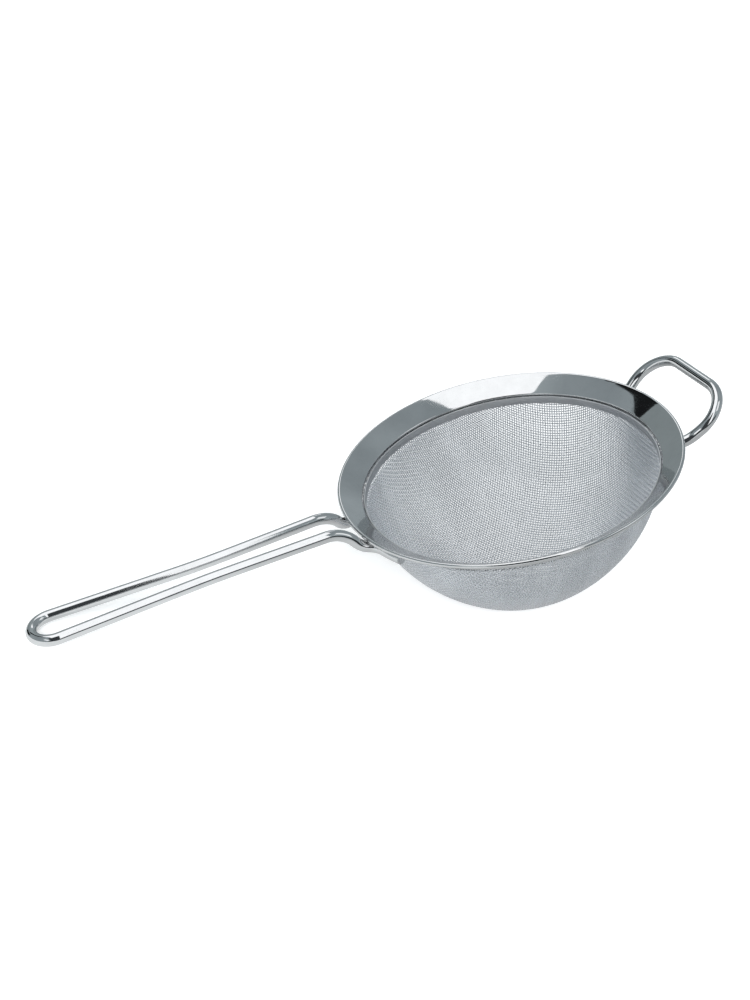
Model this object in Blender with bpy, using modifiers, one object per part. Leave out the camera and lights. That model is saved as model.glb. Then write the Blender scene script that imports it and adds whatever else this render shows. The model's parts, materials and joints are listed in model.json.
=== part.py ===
"""Tea strainer: a woven wire bowl held in a polished conical rim, with a hairpin wire handle.

The strainer is drawn level, in the rim's own coordinates: the middle of the rolled edge's circle is
the origin, +Z is up out of the bowl, the handle points along -X and the rest loop along +X. All
parts hang on one empty, which leans the strainer back until the bowl and the tip of the handle
both touch the table at Z = 0, as it lies when it is put down.
"""

import math

import bpy
from mathutils import Vector

MM = 0.001

# Driving dimensions, in metres unless they are angles or counts.
GAP = 0.3 * MM                  # clearance between neighbouring solids
SHEET = 0.5 * MM                # steel sheet of the rim band
WIRE_R = 1.5 * MM               # handle and rest loop wire

RIM_R = 46.0 * MM               # outer radius over the rolled edge
BEAD_R = 0.55 * MM              # rolled edge
BEAD_Z = -0.3 * MM
LIP_R = 39.9 * MM               # inner edge of the band
LIP_Z = -3.4 * MM
COLLAR_BOTTOM = -4.9 * MM       # the band turns down here around the edge of the cloth

RING_R = 39.1 * MM              # inside of the ring that holds the cloth
RING_SHEET = 0.4 * MM
RING_TOP = -3.8 * MM
RING_BOTTOM = -6.1 * MM

CLOTH = 0.5 * MM                # thickness of the woven cloth, two wires deep
BOWL_DEPTH = 41.2 * MM
CAP_R = 26.3 * MM               # bottom of the bowl
CAP_ANGLE = math.radians(23.0)
WALL_R = 53.8 * MM              # long slope above it
WALL_ANGLE = math.radians(50.7)
SHOULDER_R = 40.0 * MM          # turns the wall up towards the ring
SHOULDER_ANGLE = math.radians(77.0)
HEM_TOP = -4.4 * MM
HEM_BOTTOM = -6.5 * MM
FLAT_R = 4.0 * MM               # pressed flat at the bottom
FLAT_BEND = 1.0 * MM            # width of the bend around the flat

TIP_X = -125.0 * MM             # centre of the handle's round end
TIP_R = 5.35 * MM
TIP_Z = 5.9 * MM
WAIST = Vector((-85.3, 3.7, 4.1)) * MM
WAIST_BEND_R = 200.0 * MM
HANDLE_BEND = Vector((-50.0, 4.6, 2.7)) * MM
HANDLE_BEND_R = 8.6 * MM
HANDLE_DIP = Vector((-46.4, 6.3, -2.65)) * MM
HANDLE_DIP_R = 5.7 * MM         # where a leg comes out from under the rolled edge
HANDLE_FOOT_R = 43.05 * MM
HANDLE_FOOT_Z = -4.05 * MM
HANDLE_FOOT_ANGLES = (math.radians(22.2), math.radians(10.3))

LOOP_CORNER = Vector((58.05, 19.3, 3.5)) * MM
LOOP_CORNER_R = 9.4 * MM
LOOP_DIP = Vector((45.3, 15.8, -4.75)) * MM
LOOP_DIP_R = 9.8 * MM
LOOP_FOOT_R = 42.95 * MM
LOOP_FOOT_Z = -5.2 * MM
LOOP_FOOT_ANGLES = (math.radians(32.5), math.radians(20.4))

FOOT_BEND_R = 3.6 * MM          # where a foot turns into its leg
WELD_R = 0.45 * MM
WELD_INSET = math.radians(1.0)  # from a foot's cut end to its weld
WELD_LENGTH = math.radians(7.0)

TURN_STEPS = 72                 # around the axis
ARC_STEP = math.radians(15.0)   # along a bend in a wire
BEAD_END = math.radians(-150.0)  # the rolled edge closes here, against the underside of the band
BEAD_STEPS = 10
FOOT_STEPS = 4
WELD_STEPS = 4
TIP_STEPS = 12


def reset():
    for old in list(bpy.data.objects):
        bpy.data.objects.remove(old)


def make_material(name, colour, roughness):
    material = bpy.data.materials.new(name)
    material.use_nodes = True
    shader = material.node_tree.nodes["Principled BSDF"]
    shader.inputs["Base Color"].default_value = (*colour, 1.0)
    shader.inputs["Metallic"].default_value = 1.0
    shader.inputs["Roughness"].default_value = roughness
    return material


def arc_points(centre, radius, start, end, count):
    """Points on an arc in a flat drawing, from one angle to another."""
    points = []
    for i in range(count + 1):
        angle = start + (end - start) * i / count
        points.append((centre[0] + radius * math.cos(angle), centre[1] + radius * math.sin(angle)))
    return points


def add_mesh_object(name, points, edges, material, collection, parent):
    mesh = bpy.data.meshes.new(name)
    mesh.from_pydata(points, edges, [])
    mesh.materials.append(material)
    obj = bpy.data.objects.new(name, mesh)
    collection.objects.link(obj)
    obj.parent = parent
    return obj


def turn(name, outline, closed, material, collection, parent, sheet=None):
    """A profile of (radius, height) points turned around Z; with sheet, an open profile gets a thickness."""
    points = [(r, 0.0, z) for r, z in outline]
    edges = [(i, i + 1) for i in range(len(points) - 1)]
    if closed:
        edges.append((len(points) - 1, 0))
    obj = add_mesh_object(name, points, edges, material, collection, parent)
    screw = obj.modifiers.new("turned", "SCREW")
    screw.axis = "Z"
    screw.steps = TURN_STEPS
    screw.render_steps = TURN_STEPS
    screw.use_merge_vertices = True
    screw.merge_threshold = 0.00001
    screw.use_smooth_shade = True
    if sheet:
        shell = obj.modifiers.new("sheet", "SOLIDIFY")
        shell.thickness = sheet
        shell.offset = 0.0
        shell.use_even_offset = True
    return obj


def round_corners(corners, radii):
    """A polyline of straight runs, with each inner corner replaced by an arc of the given radius."""
    path = [corners[0]]
    for before, corner, after, radius in zip(corners, corners[1:], corners[2:], radii):
        back = (before - corner).normalized()
        ahead = (after - corner).normalized()
        turned = math.pi - back.angle(ahead)
        if radius <= 0.0 or turned < math.radians(1.0):
            path.append(corner)
            continue
        reach = radius * math.tan(turned / 2)
        middle = (back + ahead).normalized()
        centre = corner + middle * (radius / math.cos(turned / 2))
        start = corner + back * reach - centre
        normal = back.cross(ahead).normalized()
        count = max(2, math.ceil(turned / ARC_STEP))
        for i in range(count + 1):
            angle = -turned * i / count
            spin = start * math.cos(angle) + normal.cross(start) * math.sin(angle)
            path.append(centre + spin)
    path.append(corners[-1])
    return path


def foot_arc(radius, height, angles, side):
    """Points of a wire's foot along the underside of the rim, from its cut end to the bend."""
    points = []
    for i in range(FOOT_STEPS + 1):
        angle = angles[0] + (angles[1] - angles[0]) * i / FOOT_STEPS
        points.append(Vector((side * radius * math.cos(angle), radius * math.sin(angle), height)))
    return points


def mirrored(points):
    return [Vector((p.x, -p.y, p.z)) for p in reversed(points)]


def wire(name, points, radius, material, collection, parent):
    curve = bpy.data.curves.new(name, "CURVE")
    curve.dimensions = "3D"
    curve.bevel_depth = radius
    curve.bevel_resolution = 3
    curve.use_fill_caps = True
    curve.materials.append(material)
    spline = curve.splines.new("POLY")
    spline.points.add(len(points) - 1)
    for target, point in zip(spline.points, points):
        target.co = (*point, 1.0)
        target.radius = 1.0
    obj = bpy.data.objects.new(name, curve)
    collection.objects.link(obj)
    obj.parent = parent
    return obj


def band_slope():
    """Slope of the band, whose top face leaves the lip and lies against the top of the rolled edge."""
    run = RIM_R - BEAD_R - LIP_R
    rise = BEAD_Z - LIP_Z
    return math.atan2(rise, run) + math.asin(BEAD_R / math.hypot(run, rise))


def build_rim_band(material, collection, parent):
    slope = band_slope()
    bead_centre = (RIM_R - BEAD_R, BEAD_Z)
    bead = arc_points(bead_centre, BEAD_R, slope + math.pi / 2, BEAD_END, BEAD_STEPS)
    under_lip = LIP_Z - SHEET / math.cos(slope)
    collar_in = RING_R + RING_SHEET + CLOTH + 2 * GAP
    collar_out = collar_in + SHEET
    shoulder_z = under_lip + (collar_out - LIP_R) * math.tan(slope)
    outline = bead
    outline.append((collar_out, shoulder_z))
    outline.append((collar_out, COLLAR_BOTTOM))
    outline.append((collar_in, COLLAR_BOTTOM))
    outline.append((collar_in, under_lip + (collar_in - LIP_R) * math.tan(slope)))
    outline.append((LIP_R, under_lip))
    outline.append((LIP_R, LIP_Z))
    return turn("rim_band", outline, True, material, collection, parent)


def build_clamp_ring(material, collection, parent):
    outer = RING_R + RING_SHEET
    outline = [(outer, RING_TOP), (outer, RING_BOTTOM), (RING_R, RING_BOTTOM), (RING_R, RING_TOP)]
    return turn("clamp_ring", outline, True, material, collection, parent)


def bowl_arc(radius, start, end, origin, step):
    """Part of the bowl's outline: an arc whose slope runs from one angle to another, from the top down."""
    count = max(2, math.ceil((end - start) / step))
    points = []
    for i in range(count, -1, -1):
        angle = start + (end - start) * i / count
        r = origin[0] + radius * (math.sin(angle) - math.sin(start))
        z = origin[1] + radius * (math.cos(start) - math.cos(angle))
        points.append((r, z))
    return points


def build_mesh_bowl(material, collection, parent):
    cap = bowl_arc(CAP_R, 0.0, CAP_ANGLE, (0.0, -BOWL_DEPTH), math.radians(4.0))
    wall = bowl_arc(WALL_R, CAP_ANGLE, WALL_ANGLE, cap[0], math.radians(4.7))
    shoulder = bowl_arc(SHOULDER_R, WALL_ANGLE, SHOULDER_ANGLE, wall[0], math.radians(4.4))
    flat_z = -BOWL_DEPTH + CAP_R - math.sqrt(CAP_R ** 2 - FLAT_R ** 2)
    hem_r = RING_R + RING_SHEET + GAP + CLOTH / 2
    outline = [(hem_r, HEM_TOP), (hem_r, HEM_BOTTOM)]
    outline += shoulder + wall[1:]
    outline += [point for point in cap[1:] if point[0] > FLAT_R + FLAT_BEND]
    outline += [(FLAT_R, flat_z), (0.0, flat_z)]
    return turn("mesh_bowl", outline, False, material, collection, parent, CLOTH)


def build_handle(material, collection, parent):
    foot = foot_arc(HANDLE_FOOT_R, HANDLE_FOOT_Z, HANDLE_FOOT_ANGLES, -1)
    tip_start = Vector((TIP_X, TIP_R, TIP_Z))
    corners = foot + [HANDLE_DIP, HANDLE_BEND, WAIST, tip_start]
    radii = [0.0] * (len(foot) - 2) + [FOOT_BEND_R, HANDLE_DIP_R, HANDLE_BEND_R, WAIST_BEND_R]
    half = round_corners(corners, radii)
    climb = (TIP_Z - WAIST.z) / (WAIST.x - TIP_X)
    end = []
    for i in range(1, TIP_STEPS):
        angle = math.pi * i / TIP_STEPS
        reach = TIP_R * math.sin(angle)
        end.append(Vector((TIP_X - reach, TIP_R * math.cos(angle), TIP_Z + climb * reach)))
    return wire("handle_wire", half + end + mirrored(half), WIRE_R, material, collection, parent)


def build_rest_loop(material, collection, parent):
    foot = foot_arc(LOOP_FOOT_R, LOOP_FOOT_Z, LOOP_FOOT_ANGLES, 1)
    middle = Vector((LOOP_CORNER.x, 0.0, LOOP_CORNER.z))
    corners = foot + [LOOP_DIP, LOOP_CORNER, middle]
    radii = [0.0] * (len(foot) - 2) + [FOOT_BEND_R, LOOP_DIP_R, LOOP_CORNER_R]
    half = round_corners(corners, radii)[:-1]
    return wire("rest_loop_wire", half + mirrored(half), WIRE_R, material, collection, parent)


def build_welds(material, collection, parent):
    """A short bead of weld along the outer side of each foot, in the groove under the band."""
    slope = band_slope()
    feet = {
        "handle_weld": (HANDLE_FOOT_R, HANDLE_FOOT_Z, HANDLE_FOOT_ANGLES, -1),
        "loop_weld": (LOOP_FOOT_R, LOOP_FOOT_Z, LOOP_FOOT_ANGLES, 1),
    }
    for name, (radius, height, angles, side) in feet.items():
        reach = WIRE_R + WELD_R + GAP
        under = LIP_Z - SHEET / math.cos(slope) + (radius - LIP_R) * math.tan(slope)
        up = (under - height) * math.cos(slope) - WELD_R - GAP
        along = math.sqrt(max(reach ** 2 - up ** 2, 0.0))
        r = radius + along * math.cos(slope) - up * math.sin(slope)
        z = height + along * math.sin(slope) + up * math.cos(slope)
        for label, mirror in (("far", 1), ("near", -1)):
            points = []
            for i in range(WELD_STEPS + 1):
                angle = angles[0] - WELD_INSET - WELD_LENGTH * i / WELD_STEPS
                points.append(Vector((side * r * math.cos(angle), mirror * r * math.sin(angle), z)))
            wire(f"{name}_{label}", points, WELD_R, material, collection, parent)


def rest_pose():
    """Lean and place that put the bowl's bottom and the handle's tip on Z = 0.

    The middle of the overall length is on X = 0.
    """
    centre_z = -BOWL_DEPTH + CAP_R
    cap_outer = CAP_R + CLOTH / 2
    climb = (TIP_Z - WAIST.z) / (WAIST.x - TIP_X)
    tip_x = TIP_X - TIP_R
    tip_z = TIP_Z + climb * TIP_R
    reach = math.hypot(tip_x, tip_z - centre_z)
    lean = math.atan2(tip_z - centre_z, -tip_x) + math.asin((cap_outer - WIRE_R) / reach)
    height = cap_outer - centre_z * math.cos(lean)
    low_x = tip_x * math.cos(lean) - tip_z * math.sin(lean) - WIRE_R
    high_x = LOOP_CORNER.x * math.cos(lean) - LOOP_CORNER.z * math.sin(lean) + WIRE_R
    return lean, Vector((-(low_x + high_x) / 2, 0.0, height))


def main():
    reset()
    collection = bpy.data.collections.new("tea_strainer")
    bpy.context.scene.collection.children.link(collection)
    pose = bpy.data.objects.new("rest_pose", None)
    collection.objects.link(pose)
    lean, place = rest_pose()
    pose.rotation_euler = (0.0, -lean, 0.0)
    pose.location = place

    polished = make_material("polished_steel", (0.72, 0.73, 0.74), 0.08)
    satin = make_material("satin_steel", (0.55, 0.56, 0.57), 0.3)
    cloth = make_material("wire_cloth", (0.62, 0.64, 0.66), 0.35)
    weld = make_material("weld_bead", (0.4, 0.4, 0.41), 0.45)

    build_rim_band(polished, collection, pose)
    build_clamp_ring(satin, collection, pose)
    build_mesh_bowl(cloth, collection, pose)
    build_handle(polished, collection, pose)
    build_rest_loop(polished, collection, pose)
    build_welds(weld, collection, pose)


main()
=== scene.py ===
# %% [markdown]
# # A wire tea strainer
# The strainer is five pieces of stainless steel: a polished conical rim, a ring that holds the cloth,
# a bowl of woven wire cloth, a hairpin handle and a rest loop. This lesson builds each one the way it
# is made: turned, bent, woven and draped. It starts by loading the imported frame, which fixes every size.

import json
import math

import bmesh
import bpy
import numpy as np
from mathutils import Euler, Matrix, Vector


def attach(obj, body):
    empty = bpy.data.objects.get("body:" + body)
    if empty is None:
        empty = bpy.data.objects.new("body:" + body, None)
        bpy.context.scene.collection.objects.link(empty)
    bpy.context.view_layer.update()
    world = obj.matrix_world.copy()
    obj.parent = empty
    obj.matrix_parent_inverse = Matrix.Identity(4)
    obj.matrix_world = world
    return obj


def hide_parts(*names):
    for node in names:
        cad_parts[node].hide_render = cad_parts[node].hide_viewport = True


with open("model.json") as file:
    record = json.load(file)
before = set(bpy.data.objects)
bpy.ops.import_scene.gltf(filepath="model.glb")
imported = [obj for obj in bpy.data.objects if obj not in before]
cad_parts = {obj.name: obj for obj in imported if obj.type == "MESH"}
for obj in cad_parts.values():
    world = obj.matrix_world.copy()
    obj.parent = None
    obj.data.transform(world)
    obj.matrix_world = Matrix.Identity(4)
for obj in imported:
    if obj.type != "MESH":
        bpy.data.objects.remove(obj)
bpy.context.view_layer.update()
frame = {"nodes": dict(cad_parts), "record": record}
print("frame nodes:", ", ".join(sorted(frame["nodes"])))

# %% [markdown]
# ## The strainer's own level
# The strainer lies on the table, leaning on the bottom of its bowl and the tip of its handle. It is far
# easier to draw with the rim level, so every piece is drawn in the rim's own coordinates in millimetres
# and laid in place at the end. The record's flat at the bowl's bottom gives the lean and the place.

# %% From the rim's level to the table
MM = 0.001
FLAT_DEPTH = 41.144             # from the rim's centre down to the underside of the pressed flat

bowl_flat = frame["record"]["mounts"][0]
rim_up = -Vector(bowl_flat["axis"]).normalized()
lean = math.atan2(-rim_up.x, rim_up.z)
rim_centre = Vector(bowl_flat["pos_m"]) + rim_up * FLAT_DEPTH * MM
level_to_table = Matrix.LocRotScale(rim_centre, Euler((0.0, -lean, 0.0)), Vector((MM, MM, MM)))
print(f"lean {math.degrees(lean):.2f} degrees, rim centre {tuple(round(c, 4) for c in rim_centre)}")


def on_table(point):
    """A point in the rim's level millimetres, as a place over the table in metres."""
    return level_to_table @ Vector(point)


# %% [markdown]
# ## Camera
# A product camera looks down on the rim from the near side of the handle with a 59 mm lens. Its aim,
# its two angles and its roll are given in the rim's coordinates, because the rim's ellipse is what the
# eye reads first. The camera is placed early, so every later step can be checked against it.

# %% Place the camera
CAMERA_AIM = (-35.2, 9.7, -1.8)
CAMERA_TURN = math.radians(-17.17)
CAMERA_RISE = math.radians(32.78)
CAMERA_ROLL = math.radians(-12.71)
CAMERA_REACH = 431.0
CAMERA_LENS = 58.87


def camera_axes(turn, rise, roll):
    """Right, up and back of a camera that looks at the origin, rolled about its own view line."""
    back = Vector((math.sin(turn) * math.cos(rise), -math.cos(turn) * math.cos(rise), math.sin(rise)))
    flat_right = Vector((math.cos(turn), math.sin(turn), 0.0))
    flat_up = back.cross(flat_right)
    right = flat_right * math.cos(roll) + flat_up * math.sin(roll)
    return right, back.cross(right), back


right, up, back = camera_axes(CAMERA_TURN, CAMERA_RISE, CAMERA_ROLL)
turn_to_table = level_to_table.to_3x3().normalized()
camera_turn = turn_to_table @ Matrix((right, up, back)).transposed()
camera_place = on_table(Vector(CAMERA_AIM) + back * CAMERA_REACH)
camera_data = bpy.data.cameras.new("product_camera")
camera_data.lens = CAMERA_LENS
camera_data.clip_start = 0.01
camera = bpy.data.objects.new("product_camera", camera_data)
bpy.context.scene.collection.objects.link(camera)
camera.matrix_world = Matrix.Translation(camera_place) @ camera_turn.to_4x4()
bpy.context.scene.camera = camera
print("camera at", tuple(round(c, 3) for c in camera_place))

# %% [markdown]
# ## Light
# Polished steel has no colour of its own: it shows the room. So the studio is built for what the steel
# should mirror. A cool grey room gives the rim its calm mid grey, and a grey screen evens out what its
# near side mirrors. One long softbox overhead makes the white patch on the rim and the white streak
# along the wires, and three small panels brighten the cloth and the wires from the sides. A black card makes
# the dark patch near the loop, a dark curtain draws the thin dark line along the wires, and four small
# dark cards give the loop and the handle their short dark streaks. All of them show in steel only.
# The floor has a lamp of its own, hidden from steel, so that it leaves no mark there.

# %% Studio helpers
bpy.context.scene.view_settings.view_transform = "Standard"


def facing_rim(direction, reach):
    """Turns a flat drawing in metres to face the rim, from a direction in the rim's level."""
    toward = Vector(direction).normalized()
    side = Vector((0.0, 1.0, 0.0)).cross(toward).normalized()
    turn = turn_to_table @ Matrix((side, toward.cross(side), toward)).transposed()
    return Matrix.Translation(rim_centre + turn_to_table @ toward * reach) @ turn.to_4x4()


def glowing(name, colour):
    """A material that only gives out an even light."""
    material = bpy.data.materials.new(name)
    material.use_nodes = True
    nodes = material.node_tree.nodes
    nodes.clear()
    glow = nodes.new("ShaderNodeEmission")
    glow.inputs["Color"].default_value = (*colour, 1.0)
    output = nodes.new("ShaderNodeOutputMaterial")
    material.node_tree.links.new(glow.outputs["Emission"], output.inputs["Surface"])
    return material


def stand_card(name, direction, reach, corners, colour):
    """A flat card with the given corners, which only mirrors can see."""
    card_mesh = bmesh.new()
    rim_of_card = [card_mesh.verts.new((x, y, 0.0)) for x, y in corners]
    bmesh.ops.contextual_create(card_mesh, geom=rim_of_card)
    bmesh.ops.transform(card_mesh, matrix=facing_rim(direction, reach), verts=card_mesh.verts)
    mesh = bpy.data.meshes.new(name)
    card_mesh.to_mesh(mesh)
    card_mesh.free()
    mesh.materials.append(glowing(name, colour))
    card = bpy.data.objects.new(name, mesh)
    card.visible_camera = False
    card.visible_diffuse = False
    card.visible_shadow = False
    bpy.context.scene.collection.objects.link(card)


def square_cut(left, low, right, high):
    """The four corners of a plain card."""
    return [(left, low), (right, low), (right, high), (left, high)]


print("view transform:", bpy.context.scene.view_settings.view_transform)

# %% Hang the softboxes
# Every panel is drawn flat, in metres across and up, as it faces the rim. Its row gives its name, the
# direction in which it stands, its distance from the rim, its corners and its colour.
SOFTBOX_GLOW = (1.45, 1.46, 1.48)
FILL_GLOW = (1.2, 1.22, 1.24)
softbox_corners = [(0.46, 1.25), (0.46, 0.07), (0.25, -0.23), (0.65, -2.7), (-0.6, -2.7), (-0.31, -0.05),
                   (-0.25, 0.3), (-0.28, 1.25)]
left_corners = [(-0.03, 0.21), (0.12, 0.21), (0.05, -0.23), (-0.14, -0.24)]
bright_panels = (
    ("overhead_softbox", (-0.016, -0.085, 0.93), 1.1, softbox_corners, SOFTBOX_GLOW),
    ("left_softbox", (-0.62, -0.4, 0.68), 1.1, left_corners, SOFTBOX_GLOW),
    ("right_softbox", (0.36, 0.76, 0.54), 1.1, square_cut(-0.16, -0.1, 0.16, 0.1), SOFTBOX_GLOW),
    ("right_fill", (0.62, -0.45, 0.64), 1.1, square_cut(-0.25, -0.25, 0.25, 0.25), FILL_GLOW),
)
for panel in bright_panels:
    stand_card(*panel)
print("bright panels:", ", ".join(panel[0] for panel in bright_panels))

# %% Stand the dark cards
# The last one stands where a person with a camera would, in the way of the overhead softbox.
BLACK = (0.012, 0.013, 0.014)
CURTAIN_DARK = (0.03, 0.033, 0.035)
CAMERA_DARK = (0.05, 0.055, 0.06)
FAR_GREY = (0.285, 0.325, 0.335)
black_corners = [(0.24, 0.02), (0.175, 0.2), (0.05, 0.34), (0.05, 0.39), (0.3, 0.5), (0.42, 0.2)]
strip_corners = [(0.01, 0.0), (0.12, 0.0), (0.1, 0.24), (0.02, 0.24)]
camera_corners = [(-0.5, -0.66), (0.01, -0.66), (0.0, -0.3), (0.02, 0.05), (0.05, 0.5), (-0.1, 0.8),
                  (-0.5, 0.8)]
dark_cards = (
    ("black_card", (-0.53, 0.49, 0.69), 1.1, black_corners, BLACK),
    ("dark_curtain", (0.0, -1.0, 0.18), 3.0, square_cut(-2.5, -0.55, 2.5, 0.45), CURTAIN_DARK),
    ("far_screen", (0.12, 0.97, 0.2), 3.0, square_cut(-2.8, -0.75, 1.3, 2.4), FAR_GREY),
    ("loop_card_strip", (-0.33, 0.45, 0.83), 1.05, strip_corners, BLACK),
    ("loop_card_bar", (-0.62, 0.74, 0.25), 1.05, square_cut(-0.19, -0.2, 0.3, 0.2), BLACK),
    ("loop_card_near", (-0.56, -0.75, 0.36), 1.05, square_cut(-0.2, -0.16, 0.16, 0.1), BLACK),
    ("camera_card", (-0.02, -0.75, 0.66), 0.9, camera_corners, CAMERA_DARK),
)
for card in dark_cards:
    stand_card(*card)
print("dark cards:", ", ".join(card[0] for card in dark_cards))

# %% The grey room
# The camera sees a pale backdrop instead of the room, so that every view has a plain ground.
ROOM_GREY = (0.3, 0.34, 0.36)
ROOM_LIGHTER = (0.4, 0.45, 0.47)
ROOM_DRIFT = 1.6                # the size of the slow change between the two greys
DRIFT_FROM, DRIFT_TO = 0.35, 0.65
BACKDROP = (1.0, 1.0, 1.0)


def build_room():
    """A world that the steel sees as a grey room and the camera as a plain white ground."""
    world = bpy.data.worlds.new("grey_room")
    bpy.context.scene.world = world
    world.use_nodes = True
    tree = world.node_tree
    room = tree.nodes["Background"]
    place = tree.nodes.new("ShaderNodeTexCoord")
    drift = tree.nodes.new("ShaderNodeTexNoise")
    drift.inputs["Scale"].default_value = ROOM_DRIFT
    drift.inputs["Detail"].default_value = 1.0
    tree.links.new(place.outputs["Generated"], drift.inputs["Vector"])
    tone = tree.nodes.new("ShaderNodeValToRGB")
    tone.color_ramp.elements[0].position = DRIFT_FROM
    tone.color_ramp.elements[0].color = (*ROOM_GREY, 1.0)
    tone.color_ramp.elements[1].position = DRIFT_TO
    tone.color_ramp.elements[1].color = (*ROOM_LIGHTER, 1.0)
    tree.links.new(drift.outputs["Fac"], tone.inputs["Fac"])
    tree.links.new(tone.outputs["Color"], room.inputs["Color"])
    backdrop = tree.nodes.new("ShaderNodeBackground")
    backdrop.inputs["Color"].default_value = (*BACKDROP, 1.0)
    path = tree.nodes.new("ShaderNodeLightPath")
    blend = tree.nodes.new("ShaderNodeMixShader")
    tree.links.new(path.outputs["Is Camera Ray"], blend.inputs["Fac"])
    tree.links.new(room.outputs["Background"], blend.inputs[1])
    tree.links.new(backdrop.outputs["Background"], blend.inputs[2])
    tree.links.new(blend.outputs["Shader"], tree.nodes["World Output"].inputs["Surface"])


build_room()
print("room greys", ROOM_GREY, ROOM_LIGHTER)

# %% The floor's own lamp
# It shines from behind the camera, so that the shadow falls behind the strainer.
FLOOR_LAMP_POWER = 5.2
FLOOR_LAMP_SPREAD = math.radians(40.0)

floor_sun = bpy.data.lights.new("floor_lamp", "SUN")
floor_sun.energy = FLOOR_LAMP_POWER
floor_sun.angle = FLOOR_LAMP_SPREAD
floor_lamp = bpy.data.objects.new("floor_lamp", floor_sun)
floor_lamp.matrix_world = camera_turn.to_4x4()
floor_lamp.visible_glossy = False
bpy.context.scene.collection.objects.link(floor_lamp)
print("floor lamp power", floor_sun.energy)

# %% [markdown]
# ## The floor
# The floor is a plain pale sheet with a very faint tooth, wide enough to fill every view. It glows a
# little by itself, as backlit acrylic does, which keeps the shadows light. Steel is shown the floor
# with painted shade: a little darker below the handle and much darker below the bowl, so that the
# undersides of the wires and of the bowl don't wash out.

# %% Material helpers
def node_material(name):
    """A new material, its node tree and its Principled shader."""
    material = bpy.data.materials.new(name)
    material.use_nodes = True
    tree = material.node_tree
    return material, tree, tree.nodes["Principled BSDF"]


def place_noise(tree, vector, scale, detail=3.0, roughness=0.5):
    """A noise pattern on a vector. Its Fac output runs around a half."""
    noise = tree.nodes.new("ShaderNodeTexNoise")
    noise.inputs["Scale"].default_value = scale
    noise.inputs["Detail"].default_value = detail
    noise.inputs["Roughness"].default_value = roughness
    tree.links.new(vector, noise.inputs["Vector"])
    return noise


def place_range(tree, value, low, high, from_low=0.0, from_high=1.0):
    """Maps a pattern onto a range of roughness, height or mask."""
    node = tree.nodes.new("ShaderNodeMapRange")
    node.inputs["From Min"].default_value = from_low
    node.inputs["From Max"].default_value = from_high
    node.inputs["To Min"].default_value = low
    node.inputs["To Max"].default_value = high
    tree.links.new(value, node.inputs["Value"])
    return node.outputs["Result"]


def place_blend(tree, mask, first, second):
    """A colour that runs from first to second with a mask."""
    node = tree.nodes.new("ShaderNodeMix")
    node.data_type = "RGBA"
    node.inputs["A"].default_value = (*first, 1.0)
    node.inputs["B"].default_value = (*second, 1.0)
    tree.links.new(mask, node.inputs["Factor"])
    return node.outputs["Result"]


print("helpers for materials are ready")

# %% Lay the floor
FLOOR_HALF = 3.0
FLOOR_PALE, FLOOR_PALER = (0.78, 0.78, 0.78), (0.81, 0.81, 0.81)
FLOOR_ROUGH = (0.75, 0.9)
FLOOR_TOOTH = 900.0             # grains to the metre
FLOOR_GLOW = 0.45
PAINTED_SHADE_AT_HANDLE = 0.2          # painted shade: the share of the floor's light that steel doesn't see
PAINTED_SHADE_AT_BOWL = 0.55
PAINTED_SHADE_RUN = (-0.05, 0.02)     # the stretch of X, in metres, along which the share grows


def pale_floor_finish():
    """A matt sheet that glows a little, and shows mirrors a darker floor with painted shade."""
    material, tree, shader = node_material("pale_floor")
    place = tree.nodes.new("ShaderNodeTexCoord")
    tooth = place_noise(tree, place.outputs["Object"], FLOOR_TOOTH)
    colour = place_blend(tree, tooth.outputs["Fac"], FLOOR_PALE, FLOOR_PALER)
    tree.links.new(colour, shader.inputs["Base Color"])
    tree.links.new(place_range(tree, tooth.outputs["Fac"], *FLOOR_ROUGH), shader.inputs["Roughness"])
    shader.inputs["Specular IOR Level"].default_value = 0.0
    shader.inputs["Emission Color"].default_value = (1.0, 1.0, 1.0, 1.0)
    shader.inputs["Emission Strength"].default_value = FLOOR_GLOW
    split = tree.nodes.new("ShaderNodeSeparateXYZ")
    tree.links.new(place.outputs["Object"], split.inputs["Vector"])
    # Painted shade: glossy rays see the floor darker, a little at the handle and much more under the bowl.
    share = place_range(tree, split.outputs["X"], PAINTED_SHADE_AT_HANDLE, PAINTED_SHADE_AT_BOWL, *PAINTED_SHADE_RUN)
    path = tree.nodes.new("ShaderNodeLightPath")
    painted_shade = tree.nodes.new("ShaderNodeMath")
    painted_shade.operation = "MULTIPLY"
    tree.links.new(path.outputs["Is Glossy Ray"], painted_shade.inputs[0])
    tree.links.new(share, painted_shade.inputs[1])
    shade = tree.nodes.new("ShaderNodeEmission")
    shade.inputs["Strength"].default_value = 0.0
    blend = tree.nodes.new("ShaderNodeMixShader")
    tree.links.new(painted_shade.outputs["Value"], blend.inputs["Fac"])
    tree.links.new(shader.outputs["BSDF"], blend.inputs[1])
    tree.links.new(shade.outputs["Emission"], blend.inputs[2])
    tree.links.new(blend.outputs["Shader"], tree.nodes["Material Output"].inputs["Surface"])
    return material


floor_sheet = bmesh.new()
bmesh.ops.create_grid(floor_sheet, x_segments=1, y_segments=1, size=FLOOR_HALF)
floor_mesh = bpy.data.meshes.new("floor")
floor_sheet.to_mesh(floor_mesh)
floor_sheet.free()
floor_mesh.materials.append(pale_floor_finish())
floor = bpy.data.objects.new("floor", floor_mesh)
bpy.context.scene.collection.objects.link(floor)
print("floor", tuple(round(side, 2) for side in floor.dimensions), "metres")

# %% [markdown]
# ## What every steel finish shares
# Three effects turn up on more than one piece, so each is built once as a node group. The first gives
# the place in the rim's own level, so that a pattern can run around the rim. The second draws
# the very fine lines that a polishing wheel leaves around a turned piece. The third draws loose hair
# scratches and the dull smudges of handling.

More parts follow.
